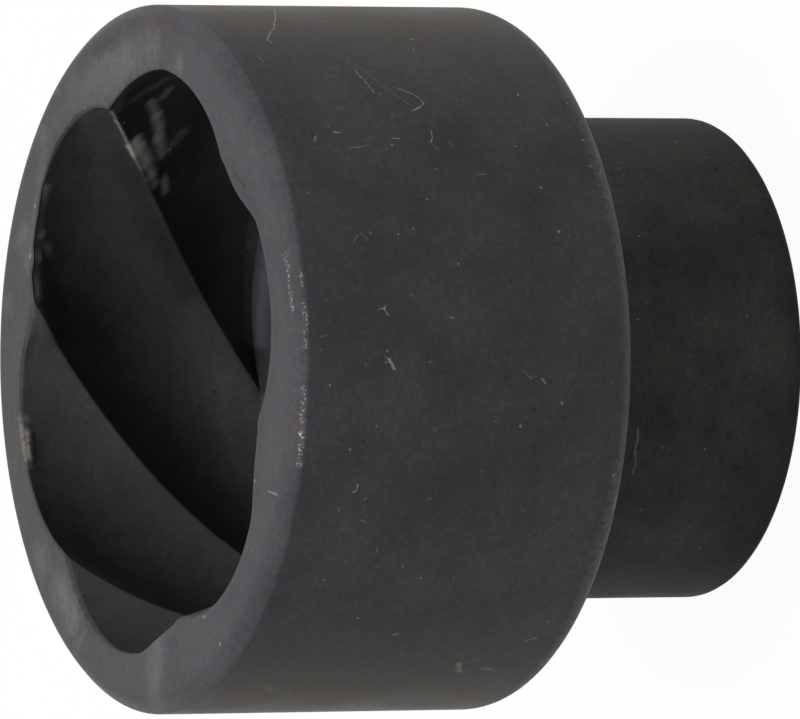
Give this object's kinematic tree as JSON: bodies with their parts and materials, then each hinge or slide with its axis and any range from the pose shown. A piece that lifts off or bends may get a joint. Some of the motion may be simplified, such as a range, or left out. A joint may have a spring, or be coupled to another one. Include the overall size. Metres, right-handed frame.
{
  "type": "screw extractor socket",
  "caption": "Black impact socket with left-hand spiral flutes that bite a rounded hexagon nut, turned by a square drive.",
  "frame": {"origin": "centre of the drive end's face, which is the face that the socket stands on", "axes": "+Z along the axis from the drive end to the mouth; +X square to one flat of the drive, +Y square to the next"},
  "size_m": [0.064, 0.064, 0.056],
  "materials": {
    "phosphated_steel": "matte"
  },
  "bodies": {
    "root": {"extractor_socket": "phosphated_steel"}
  },
  "joints": []
}
